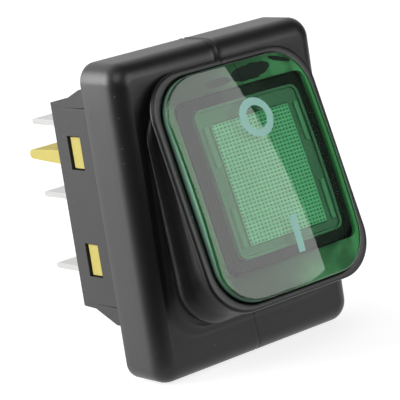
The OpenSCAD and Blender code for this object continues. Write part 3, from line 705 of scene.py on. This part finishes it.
side = FRAME_FRONT - EDGE_R
frame_rows = [fixed_row(FRAME_W - cut, FRAME_H - cut, EDGE_R - cut / 2, out) for cut, out in BACK_EDGE]
frame_rows += [fixed_row(FRAME_W, FRAME_H, EDGE_R, side * k) for k in (0.25, 0.5, 0.75)]
frame_rows += [edge_row(a) for a in np.radians(np.linspace(0, EDGE_TURN, EDGE_ROWS))]
foot_rows = [fixed_row(w, h, r, FRAME_FRONT - drop) for w, h, r, drop in FOLD_FOOT]
fold_rows = smooth_rows([frame_rows[-1], *foot_rows, *FOLD, *COLLAR], FOLD_STEPS)
inner_rows = [*INSIDE, *(fixed_row(*row) for row in FRAME_INSIDE)]
boot_rows = np.vstack([frame_rows[:-1], fold_rows, inner_rows])
boot_rings = lofted(boot_rows)
print("boot rings:", len(boot_rows))

# %% [markdown]
# The two streams of rubber met at the top and at the bottom, and left a groove with a raised lip on
# each side. A bump texture would vanish at the outline, so the groove is cut into the points, along the
# surface's own normals, which come from the differences between neighbouring points. It wanders a
# little to the left and right on its way to the fold.

# %% Weld groove
GROOVE_W, GROOVE_REACH = 0.16, 3.0
LIP_AWAY, LIP_RISE = 2.4, 0.3
SIDE_POINTS = ARC_STEPS + EDGE_STEPS
TOP_SIDE, LOW_SIDE = 0, 2
TOP_ROW, TOP_POINT = 5, SIDE_POINTS // 2 + ARC_STEPS // 2
GROOVE_ROWS = (0, 5, 12, 20, 34, 44, 60, 130, 154, 170)
GROOVE_X = (0.6, 0.35, -0.1, -0.35, -0.6, -0.5, -0.3, -0.2, -0.2, -0.2)
GROOVE_TOP = (0.26, 0.26, 0.26, 0.26, 0.30, 0.34, 0.12, 0.06, 0.0, 0.0)
GROOVE_LOW = (0.04, 0.05, 0.05, 0.05, 0.05, 0.05, 0.03, 0.02, 0.0, 0.0)


def surface_normals(rings):
    """Unit normals of a closed tube of rings: the cross product of the steps round and along it."""
    along = np.roll(rings, -1, axis=0) - np.roll(rings, 1, axis=0)
    around = np.roll(rings, -1, axis=1) - np.roll(rings, 1, axis=1)
    normal = np.cross(around, along)
    return normal / np.linalg.norm(normal, axis=-1, keepdims=True)


def along_boot(values):
    """One value for each ring: straight lines between the values at GROOVE_ROWS."""
    return np.interp(np.arange(len(boot_rows)), GROOVE_ROWS, values)[:, None]


across = boot_rings[..., 0] / MM
point = np.arange(boot_rings.shape[1])
depth = (along_boot(GROOVE_TOP) * (point // SIDE_POINTS == TOP_SIDE)
         + along_boot(GROOVE_LOW) * (point // SIDE_POINTS == LOW_SIDE))
depth = depth * (point % SIDE_POINTS > ARC_STEPS)
# The groove's section is exp(-(x / width)^2), and each lip is the same curve moved aside.
groove = np.exp(-(across / GROOVE_W) ** 2)
lips = np.exp(-((np.abs(across) - LIP_AWAY * GROOVE_W) / GROOVE_W) ** 2)
outward = surface_normals(boot_rings)
outward = outward * np.sign(outward[TOP_ROW, TOP_POINT, 2])
boot_rings = boot_rings + outward * ((LIP_RISE * lips - groove) * depth)[..., None] * MM
wander = along_boot(GROOVE_X) * np.exp(-(across / GROOVE_REACH) ** 2) * (depth > 0)
boot_rings[..., 0] += wander * MM
print("groove points:", int((groove * depth > 0.01).sum()))

# %% [markdown]
# The boot has to bend with the rocker. Bones could do it. Here every point carries its own share of the
# tilt, as a value of the mesh. The same shares tell the finish where the fold is.

# %% Boot
boot = skin("boot", boot_rings, boot_finish, wrap=True)
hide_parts("boot_frame", "boot_bellows")
-PIVOT_OUT * MM
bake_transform(boot)
shares = np.repeat(boot_rows[:, 4], boot_rings.shape[1]).astype(np.float32)
in_groove = (groove * (depth > 0)).ravel().astype(np.float32)
for name, values in (("fold", shares), ("weld", in_groove)):
    boot.data.attributes.new(name, "FLOAT", "POINT").data.foreach_set("value", values)
print("points that bend:", int(((shares > 0) & (shares < 1)).sum()))

# %% [markdown]
# The window is a shallow tray turned over: a crowned face, upright sides, and a hollow that takes the
# rocker's cap. The face could be a cut from a sphere, but it bulges more across than up, so each ring
# on it follows a paraboloid. Its edge is a small quarter circle. The foot and the upright sides take
# the matte finishes, and the rest is clear.

# %% Window
CAP_UP = 0.4
WINDOW_W, WINDOW_H, WINDOW_R = 24.0, 29.85, 5.5
WINDOW_TOP, WINDOW_FOOT, WINDOW_UNDER = 15.0, 11.4, 12.75
CROWN_X, CROWN_Y, RIM_R, RIM_STEPS = 45.0, 106.0, 0.2, 8
HOLLOW_W, HOLLOW_H, HOLLOW_R, HOLLOW_X = 21.8, 22.8, 1.2, 0.2
FOOT_CUT = 0.1
FACE_OUTER, FACE_INNER, FACE_STEPS = (0.995, 0.96), 0.03, 20
FOOT_BAND, WALL_BAND = 1, 3


def crowned(rows, across=0.0, up=0.0):
    """World rings that follow the crown, from rows (width, height, radius, depth under the crown):
    the crown's height is top - x^2 / (2 CROWN_X) - y^2 / (2 CROWN_Y)."""
    w, h, r, drop = np.asarray(rows, float).T
    flat = ring_grid(w, h, r) + np.array((across, up))
    crown = WINDOW_TOP - flat[..., 0] ** 2 / (2 * CROWN_X) - flat[..., 1] ** 2 / (2 * CROWN_Y)
    return placed(np.concatenate([flat, (crown - drop[:, None])[..., None]], axis=-1), 1.0)


hollow_rows = [(HOLLOW_W, HOLLOW_H, HOLLOW_R, out, 1) for out in (WINDOW_UNDER, WINDOW_FOOT)]
foot_rows = [(WINDOW_W - FOOT_CUT, WINDOW_H - FOOT_CUT, WINDOW_R - FOOT_CUT / 2, WINDOW_FOOT, 1),
             (WINDOW_W, WINDOW_H, WINDOW_R, WINDOW_FOOT + FOOT_CUT, 1)]
rim_turn = np.radians(np.linspace(0, 90, RIM_STEPS))
rim_in = RIM_R * (1 - np.cos(rim_turn))
edge_rows = np.stack([WINDOW_W - 2 * rim_in, WINDOW_H - 2 * rim_in, WINDOW_R - rim_in,
                      RIM_R * (1 - np.sin(rim_turn))], axis=-1)
inward = np.concatenate([FACE_OUTER[:1], np.linspace(FACE_OUTER[1], FACE_INNER, FACE_STEPS)])
face_rows = np.outer(inward, edge_rows[-1])
window_rings = np.concatenate([lofted(hollow_rows, across=HOLLOW_X, up=CAP_UP), lofted(foot_rows),
                               crowned(edge_rows), crowned(face_rows)])
window = skin("window", window_rings, window_finish)
for material in (margin_finish, wall_finish, under_finish):
    window.data.materials.append(material)
number = np.arange(len(window.data.polygons))
band = number // window_rings.shape[1]
underside = number == len(number) - 2
matte = np.select([band <= FOOT_BAND, band == WALL_BAND, underside], [1, 2, 3], 0)
window.data.polygons.foreach_set("material_index", matte.astype(np.int32))
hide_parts("boot_window")
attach(window, "rocker")

# %% [markdown]
# The lens is a green moulding in the rocker, with a low rim round a sunk field. It could be a block with
# pockets cut by booleans; rings give clean edges. The body is a little narrower than the rim, and a thin
# lip of the rim lies on the rocker at the right, so that nothing cuts into the rocker.

# %% Lens
LENS_W, LENS_H, LENS_R = 17.1, 19.7, 1.2
LENS_TOP, LENS_FOOT, BAND_AT, FIELD_FLOOR = 12.73, 10.65, 12.45, 12.08
ROCKER_TOP, LIP_OVER, LIP_GAP = 12.7, 0.5, 0.005
LENS_X, FIELD_X = 0.5, 0.28
FIELD_W, FIELD_H = 12.5, 15.9
BODY_W, LIP_FOOT = LENS_W - LIP_OVER, ROCKER_TOP + LIP_GAP
# Steps up and over the lens: how much narrower (or wider, round the field), the corner radius or what it
# loses, and the distance from the pivot.
BODY_STEPS = ((0.2, LENS_FOOT), (0.0, LENS_FOOT + 0.1), (0.0, LIP_FOOT))
LENS_STEPS = ((0.0, 0.0, LIP_FOOT), (0.1, 0.0, LENS_TOP - LIP_GAP), (0.3, 0.1, LENS_TOP),
              (0.7, 0.2, LENS_TOP), (0.9, 0.25, BAND_AT))
FIELD_STEPS = ((0.3, 0.4, BAND_AT), (0.12, 0.2, BAND_AT - 0.1), (0.06, 0.15, FIELD_FLOOR + 0.02),
               (0.0, 0.1, FIELD_FLOOR))
body_rows = [(BODY_W - cut, LENS_H - cut, LENS_R, out, 1) for cut, out in BODY_STEPS]
rim_rows = [(LENS_W - cut, LENS_H - cut, LENS_R - less, out, 1) for cut, less, out in LENS_STEPS]
field_rows = [(FIELD_W + more, FIELD_H + more, r, out, 1) for more, r, out in FIELD_STEPS]
lens_rings = np.concatenate([lofted(body_rows, across=LENS_X - LIP_OVER / 2, up=CAP_UP),
                             lofted(rim_rows, across=LENS_X, up=CAP_UP),
                             lofted(field_rows, across=FIELD_X)])
lens = skin("lens", lens_rings, rim_finish)
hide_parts("rocker_lens")
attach(lens, "rocker")

# %% [markdown]
# Beside the field stand four short rails, two on each side, part of the same moulding. They could be
# pulled out of the lens's own mesh. They are pieces of their own that stand a little way into the lens,
# which keeps both meshes simple.

# %% Rails
RAIL_X, RAIL_Y, RAIL_W, RAIL_H = 7.35, 5.3, 0.75, 5.3
RAIL_STEPS = ((0.0, 0.2, BAND_AT - 0.05), (0.0, 0.2, LENS_TOP - 0.12), (0.16, 0.15, LENS_TOP - 0.02))
rail_rows = [(RAIL_W - cut, RAIL_H - cut, r, out, 1) for cut, r, out in RAIL_STEPS]
for name, x, y in (("rail_left_high", -RAIL_X, RAIL_Y), ("rail_right_high", RAIL_X, RAIL_Y),
                   ("rail_left_low", -RAIL_X, -RAIL_Y), ("rail_right_low", RAIL_X, -RAIL_Y)):
    rail = skin(name, lofted(rail_rows, across=LENS_X + x, up=y), rail_finish)
    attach(rail, "rocker")

# %% [markdown]
# The field is a plate of small square pits, which spread the lamp's light. A bump texture could draw
# them, but their walls catch the light one by one, so they are real: each pit is four triangles on a
# grid, down to a point under the middle of its square.

# %% Field of pits
PITCH_X, PITCH_Y = 0.568, 0.482
FIELD_GAP = 0.02


def grid_points(x, y, z):
    """Points (x, y, z) for every x with every y, at one height."""
    return np.stack(np.meshgrid(x, y, [z], indexing="ij"), axis=-1).reshape(-1, 3)


def pit_field(across, along, columns, rows, top, tip, low):
    """Plate of square pits: a grid of corners at top, a point under the middle of each square at tip,
    and four walls down to a flat back at low."""
    x = (np.arange(columns + 1) / columns - 0.5) * across
    y = (np.arange(rows + 1) / rows - 0.5) * along
    grid = grid_points(x, y, top)
    tips = grid_points((x[:-1] + x[1:]) / 2, (y[:-1] + y[1:]) / 2, tip)
    back = np.array([(x[0], y[0], low), (x[-1], y[0], low), (x[-1], y[-1], low), (x[0], y[-1], low)])
    index = np.arange(len(grid)).reshape(columns + 1, rows + 1)
    a, b, c, d = (index[:-1, :-1].ravel(), index[1:, :-1].ravel(),
                  index[1:, 1:].ravel(), index[:-1, 1:].ravel())
    point = len(grid) + np.arange(columns * rows)
    pits = np.concatenate([np.stack([*ends, point], axis=-1) for ends in ((a, b), (b, c), (c, d), (d, a))])
    k = len(grid) + len(tips) + np.arange(4)
    edges = (index[::-1, 0], index[-1, ::-1], index[:, -1], index[0, :])
    walls = [np.concatenate([[k[n], k[(n + 1) % 4]], edge]).tolist() for n, edge in enumerate(edges)]
    faces = pits.tolist() + walls + [k[[0, 3, 2, 1]].tolist()]
    return np.vstack([grid, tips, back]), faces


points, faces = pit_field(FIELD_W - FIELD_GAP, FIELD_H - FIELD_GAP, round(FIELD_W / PITCH_X),
                          round(FIELD_H / PITCH_Y), PIT_TOP, PIT_TIP, FIELD_FLOOR + FIELD_GAP)
pits = mesh_object("lens_pits", placed(points + (FIELD_X, 0, 0), 1.0), faces, field_finish)
pits.data.polygons.foreach_set("use_smooth", np.zeros(len(pits.data.polygons), bool))
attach(pits, "rocker")

# %% [markdown]
# The two marks are a film of pale ink on the window's face: a ring at the end that switches off, and
# a bar at the end that switches on. Text objects could draw them, but they would be flat. Rings that
# follow the crown lie on the face everywhere.

# %% Marks
INK, INK_LIFT = 0.03, 0.002
RING_X, RING_AT, RING_OUT, RING_STROKE = 0.07, 7.33, 5.25, 1.05
BAR_X, BAR_AT, BAR_W, BAR_H = 0.37, -8.3, 1.1, 4.95
BAR_RADII = 0.08, 0.07
inside = RING_OUT - 2 * RING_STROKE
ring_sizes = np.array((RING_OUT, RING_OUT - INK, inside + INK, inside))
ring_drops = np.array((-INK_LIFT, -INK, -INK, -INK_LIFT))
ring_rows = np.stack([ring_sizes, ring_sizes, ring_sizes / 2, ring_drops], axis=-1)
off_mark = skin("off_mark", crowned(ring_rows, across=RING_X, up=RING_AT), mark_finish, wrap=True)
bar_rows = [(BAR_W, BAR_H, BAR_RADII[0], -INK_LIFT), (BAR_W - INK, BAR_H - INK, BAR_RADII[1], -INK)]
on_mark = skin("on_mark", crowned(bar_rows, across=BAR_X, up=BAR_AT), mark_finish)
for mark in (off_mark, on_mark):
    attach(mark, "rocker")

# %% [markdown]
# Inside the rocker each plunger sits on a coil spring: round wire carried along a helix. A screw modifier
# could wind it; an array of rings needs no modifier. Each spring stands at its part's place and goes with
# the rocker.

# %% Springs
COIL_R, WIRE_R, COIL_TURNS = 1.25, 0.2, 5
COIL_LOW, COIL_RISE = -1.25, 4.5
TURN_STEPS, WIRE_SIDES = 24, 10


def coil(column):
    """Rings of wire along a helix: at each angle the radius is COIL_R + WIRE_R cos b, and the height is
    the helix's own rise plus WIRE_R sin b, as b goes round the wire."""
    turned = np.linspace(0, 1, COIL_TURNS * TURN_STEPS + 1)[:, None]
    b = np.arange(WIRE_SIDES)[None, :] / WIRE_SIDES * 2 * np.pi
    angle = turned * COIL_TURNS * 2 * np.pi
    r = COIL_R + WIRE_R * np.cos(b)
    height = COIL_LOW + COIL_RISE * turned + WIRE_R * np.sin(b)
    return placed(np.stack([column + r * np.cos(angle), r * np.sin(angle), height], axis=-1), 1.0)


for hand in ("left", "right"):
    low, high = box_mm("plunger_spring_" + hand)
    column = (low[0] + high[0]) / 2
    slide = joints[f"plunger_{hand}_slide"]
    travel = slide["range_m"][1] / MM
    spring = skin("coil_" + hand, coil(column), spring_finish)
    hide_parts("plunger_spring_" + hand)
    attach(spring, "rocker")
    placed((column, 0, COIL_LOW + COIL_RISE + WIRE_R), 1.0).tolist()
    1 - travel / (COIL_RISE + 2 * WIRE_R)
    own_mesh(spring)

# %% [markdown]
# The floor is plain and pale. A white sheet under lamps would need much light to burn out to white, so
# the floor glows instead. Mirrors see it white behind the switch, a little greyer beside it and dim
# towards the front, which shapes the sheen on the rubber. Other light finds a grey floor, so that it
# keeps a soft shadow.

# %% Floor
FLOOR_SIDE, FLOOR_DROP = 3.0, 0.0002
FLOOR_DIM, FLOOR_SEEN = grey(0.02), grey(0.78)
FLOOR_GREYS = grey(0.42), grey(0.44)
GLOSS_FRONT, GLOSS_BACK = grey(0.72), grey(1.0)
SEEN_FROM, SEEN_FULL = -0.30, -0.06
GLOSS_TURN_FROM, GLOSS_TURN_FULL = -0.05, 0.05
GLOSS_LEFT_FROM, GLOSS_LEFT_FULL, LEFT_SLANT = -0.060, -0.015, 0.8
GLOSS_RIGHT_FROM, GLOSS_RIGHT_END = 0.20, 0.28
floor_z = float(cad_box[0][2]) - FLOOR_DROP


def looked_at(wire):
    """1 for rays from the camera, from mirrors and through glass."""
    rays = ray_kind(wire, "Is Camera Ray") + ray_kind(wire, "Is Glossy Ray")
    return ramp(rays + ray_kind(wire, "Is Transmission Ray"), 0.0, 1.0)


floor_finish, shader, place = finish("floor_white")
x, y = axis(place, "X"), axis(place, "Y")
mirror = ray_kind(place, "Is Glossy Ray")
near = place.math("MAXIMUM", ray_kind(place, "Is Camera Ray"), ramp(y, SEEN_FROM, SEEN_FULL))
beside = (ramp(x + y * LEFT_SLANT, GLOSS_LEFT_FROM, GLOSS_LEFT_FULL)
          * (1 - ramp(x - y, GLOSS_RIGHT_FROM, GLOSS_RIGHT_END)))
gloss = mixed(ramp(y, GLOSS_TURN_FROM, GLOSS_TURN_FULL), GLOSS_FRONT, GLOSS_BACK)
shown = mixed(mirror, mixed(near, FLOOR_DIM, FLOOR_SEEN), mixed(beside, FLOOR_DIM, gloss))
feed(shader, Base_Color=mixed(mirror, mixed(noise(place, 0.002), *FLOOR_GREYS), FLOOR_DIM),
     Roughness=0.9, Emission_Color=mixed(looked_at(place), grey(0.0), shown),
     Emission_Strength=1.0, Specular_IOR_Level=0.0)
half = FLOOR_SIDE / 2
floor_corners = [(x, y, floor_z) for x, y in ((-half, -half), (half, -half), (half, half), (-half, half))]
floor_mesh = bpy.data.meshes.new("floor")
floor_mesh.from_pydata(floor_corners, [], [(0, 1, 2, 3)])
floor_mesh.materials.append(floor_finish)
floor = bpy.data.objects.new("floor", floor_mesh)
bpy.context.scene.collection.objects.link(floor)
print("floor", FLOOR_SIDE, "m wide, at", round(floor_z, 5))

# %% [markdown]
# The backdrop is the world itself. The camera sees it white. Mirrors, glass and the light on the switch
# find it bright behind the switch and nearly dark in front, as in a room with one bright wall. A wall of
# planes could do the same, but the world has no edges to hide.

# %% World
WORLD_DIM, WORLD_WHITE = grey(0.05), grey(1.0)
WORLD_LIGHT, WORLD_IN_MIRROR = grey(0.8), grey(0.78)
BEHIND_FROM, BEHIND_FULL = 0.05, 0.5

world = bpy.data.worlds.new("studio")
bpy.context.scene.world = world
world.use_nodes = True
sky = world.node_tree.nodes["Background"]
look = Wire(world.node_tree).node("ShaderNodeTexCoord", out="Generated")
behind = ramp(axis(look, "Y"), BEHIND_FROM, BEHIND_FULL)
bright = mixed(ray_kind(look, "Is Glossy Ray"), WORLD_WHITE, WORLD_IN_MIRROR)
shown = mixed(ray_kind(look, "Is Camera Ray"), mixed(behind, WORLD_DIM, bright), WORLD_WHITE)
feed(sky, Color=mixed(looked_at(look), mixed(behind, WORLD_DIM, WORLD_LIGHT), shown), Strength=1.0)
print("world", world.name)

# %% [markdown]
# The bright slanting shape on the window is a softbox's mirror image. It could be placed by trial. Here
# a ray from the camera to the window is turned back about the crown's normal, and the softbox's right
# edge runs through two such rays, so the window shows that edge where it was measured. The softbox's
# lower edge stands on the floor.

# %% Softbox in the window
EDGE_PIXELS = ((235, 82), (325, 268))
SOFTBOX_AWAY, SOFTBOX_W, SOFTBOX_H, SOFTBOX_RADIANCE = 0.45, 0.34, 0.40, 2.95
ABOVE_FLOOR = 0.001
face_axes = np.array(((1.0, 0.0, 0.0), (0.0, math.sin(REST_TILT), math.cos(REST_TILT)),
                      (0.0, -math.cos(REST_TILT), math.sin(REST_TILT))))
pivot = np.array((0.0, -PIVOT_OUT * MM, 0.0))
bulge = np.array((1 / CROWN_X, 1 / CROWN_Y, 0.0)) / MM


def unit(v):
    """A vector divided by its length."""
    return np.asarray(v, float) / np.linalg.norm(v)


def mirrored(pixel):
    """Point that the window shows at a pixel: the ray meets the crown z + bulge . p^2 / 2 = top, which is
    a quadratic in the distance, and is turned back about the normal (bulge x, bulge y, 1)."""
    across, down = (np.array(pixel) - IMAGE_SIDE / 2) / FOCAL_PIXELS
    ray = unit(face_axes @ (across * CAMERA_RIGHT - down * CAMERA_UP - CAMERA_BACK))
    eye = face_axes @ (np.array(CAMERA_AT) - pivot)
    a = bulge @ ray ** 2 / 2
    b = ray[2] + bulge @ (eye * ray)
    c = eye[2] + bulge @ eye ** 2 / 2 - WINDOW_TOP * MM
    hit = eye + ray * 2 * c / (-b + math.sqrt(b * b - 4 * a * c))
    normal = unit(bulge * hit + (0.0, 0.0, 1.0))
    return pivot + (hit + (ray - 2 * (ray @ normal) * normal) * SOFTBOX_AWAY) @ face_axes


def softbox(name, middle, right, up, size, radiance):
    """Area light of a given brightness, from its middle, its right-hand direction and its up direction:
    the power is radiance times pi times the area."""
    data = bpy.data.lights.new(name, "AREA")
    data.shape = "RECTANGLE"
    data.size, data.size_y = size
    data.energy = radiance * math.pi * size[0] * size[1]
    stand(bpy.data.objects.new(name, data), right, up, np.cross(right, up), middle)
    print(name, round(data.energy, 3), "W at", np.round(middle, 3))


edge_top, edge_low = (mirrored(p) for p in EDGE_PIXELS)
edge_up = unit(edge_top - edge_low)
edge_right = unit(np.cross(edge_up, edge_low - pivot))
edge_right = edge_right if edge_right[0] > 0 else -edge_right
corner = edge_low + edge_up * (floor_z + ABOVE_FLOOR - edge_low[2]) / edge_up[2]
middle = corner + edge_up * SOFTBOX_H / 2 - edge_right * SOFTBOX_W / 2
if np.cross(edge_right, edge_up) @ (middle - pivot) < 0:
    edge_up = -edge_up
softbox("window_softbox", middle, edge_right, edge_up, (SOFTBOX_W, SOFTBOX_H), SOFTBOX_RADIANCE)

# %% [markdown]
# Three more softboxes light the room: one high at the front left fills the front, one stands at the
# left, and a large one behind it makes the side's sheen. Point lights would be simpler, but black rubber
# shows the shape of its lights, and only broad ones give it broad soft edges.

# %% Other softboxes
SOFTBOXES = (("front_softbox", (-0.50, -0.45, 0.62), (0.55, 0.55), 2.4),
             ("left_softbox", (-0.55, 0.40, 0.22), (0.5, 0.6), 4.0),
             ("back_softbox", (-0.55, 0.62, 0.10), (0.9, 0.9), 2.7))


def facing_origin(middle):
    """Right-hand and up directions of an upright softbox that faces the switch."""
    away = unit(middle)
    right = unit(np.cross((0.0, 0.0, 1.0), away))
    return right, np.cross(away, right)


for name, at, size, radiance in SOFTBOXES:
    softbox(name, at, *facing_origin(at), size, radiance)

# %% [markdown]
# Colours are shown as they are written, with no film curve.

# %% Finish
bpy.context.scene.view_settings.view_transform = "Standard"
